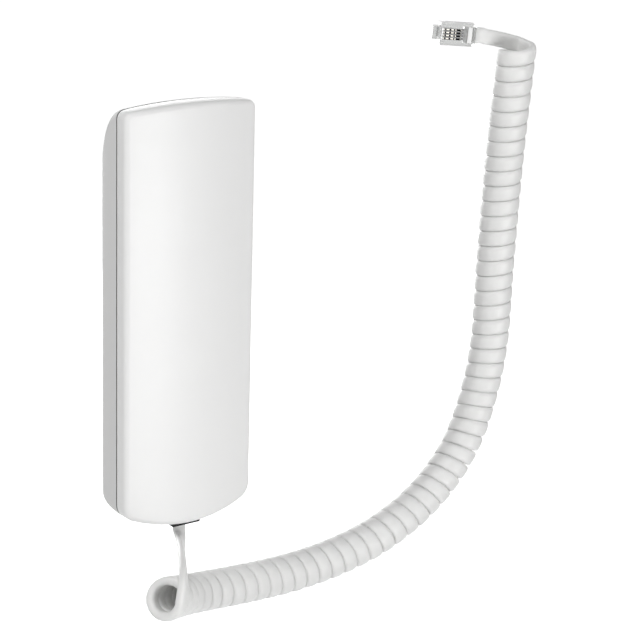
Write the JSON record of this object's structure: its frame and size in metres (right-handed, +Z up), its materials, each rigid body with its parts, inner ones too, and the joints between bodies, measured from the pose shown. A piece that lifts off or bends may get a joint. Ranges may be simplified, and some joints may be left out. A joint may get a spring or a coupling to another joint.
{
  "type": "audio intercom handset",
  "caption": "Upright intercom handset in a two-shell white case, with a corded socket below, a curly flat cord and a small clear line plug with a sprung latch.",
  "frame": {"origin": "middle of the flat rear face that rests against the wall station", "axes": "+X across the handset, +Y out of the rear face towards the station, +Z up its length"},
  "size_m": [0.1613, 0.0513, 0.189],
  "materials": {
    "case_front": "satin white",
    "case_rear": "satin white",
    "dust_cloth": "woven",
    "soft_rubber": "matte",
    "dark_plastic": "matte",
    "film": "glossy film",
    "copper": "enamelled wire",
    "steel": "bright",
    "lead_jacket": "satin",
    "circuit_board": "lacquered",
    "contact_metal": "gold plated",
    "cord_jacket": "satin white",
    "clear_plastic": "clear"
  },
  "bodies": {
    "handset": {"front_shell": "case_front", "rear_shell": "case_rear", "earpiece_cloth": "dust_cloth", "receiver_gasket": "soft_rubber", "receiver_frame": "dark_plastic", "receiver_diaphragm": "film", "receiver_voice_coil": "copper", "receiver_pole_plate": "steel", "receiver_magnet": "steel", "receiver_yoke": "steel", "receiver_pad": "soft_rubber", "receiver_leads": "lead_jacket", "microphone_cloth": "dust_cloth", "microphone_boot": "soft_rubber", "microphone_capsule": "steel", "microphone_leads": "lead_jacket", "ballast_weight": "steel", "upper_case_screw": "steel", "lower_case_screw": "steel", "cord_socket": "dark_plastic", "socket_contacts": "contact_metal", "socket_board": "circuit_board", "handset_plug_body": "clear_plastic", "handset_plug_contacts": "contact_metal", "cord_tail_handset": "cord_jacket", "cord_curl": "cord_jacket", "cord_tail_plug": "cord_jacket", "line_plug_body": "clear_plastic", "line_plug_contacts": "contact_metal"},
    "handset_latch": {"handset_plug_latch": "clear_plastic"},
    "line_latch": {"line_plug_latch": "clear_plastic"}
  },
  "joints": [
    {"name": "handset_latch_press", "type": "hinge", "parent": "handset", "child": "handset_latch", "pos_m": [0, -0.0079, -0.0586], "axis": [-1, 0, 0], "range_deg": [0, 6], "stiffness_Nm_per_rad": 0.002},
    {"name": "line_latch_press", "type": "hinge", "parent": "handset", "child": "line_latch", "pos_m": [0.10246, -0.01295, 0.08583], "axis": [-0.0637, 0.0284, -0.9976], "range_deg": [0, 10], "stiffness_Nm_per_rad": 0.002}
  ]
}
